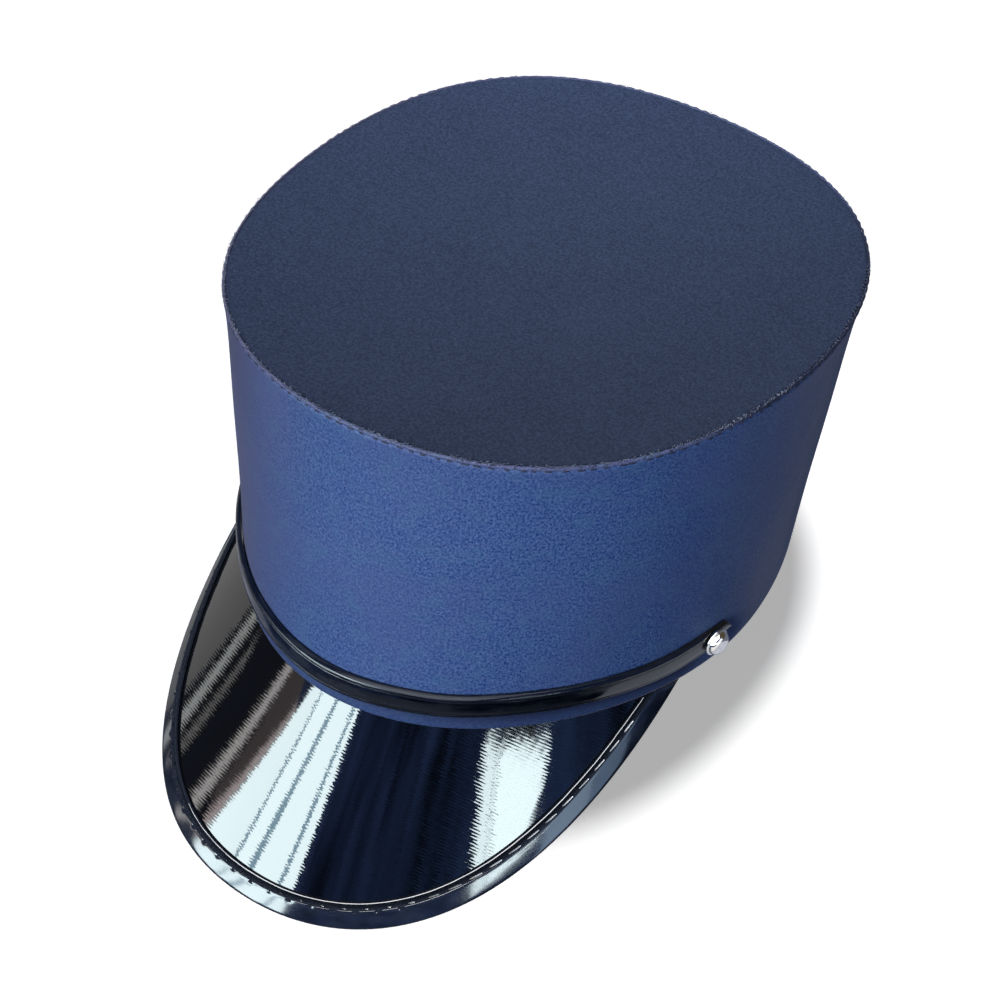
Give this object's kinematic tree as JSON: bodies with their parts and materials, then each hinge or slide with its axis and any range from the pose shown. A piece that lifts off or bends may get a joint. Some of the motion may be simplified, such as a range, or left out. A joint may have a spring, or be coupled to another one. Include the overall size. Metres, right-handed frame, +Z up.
{
  "type": "railroad cap",
  "caption": "Stiff navy cloth cap with a flat round top, a steep glossy black peak with a bound edge, and a narrow black strap across the front between metal buttons.",
  "frame": {"origin": "on the floor under the middle of the cap's box, as the cap rests by itself on the peak's front edge and the crown's back edge", "axes": "+Z up from the floor, -Y to the front where the peak points, +X to the wearer's left"},
  "size_m": [0.1802, 0.2636, 0.1396],
  "materials": {
    "side_cloth": "navy twill-backed satin with a soft upright sheen",
    "top_cloth": "the same cloth seen flat, matte slate navy",
    "patent": "black patent leathercloth with a fine weave under its gloss",
    "nickel": "polished nickel"
  },
  "bodies": {
    "root": {"crown_side": "side_cloth", "crown_top": "top_cloth", "peak": "patent", "peak_binding": "patent", "chin_strap": "patent", "button_left": "nickel", "button_right": "nickel"}
  },
  "joints": []
}
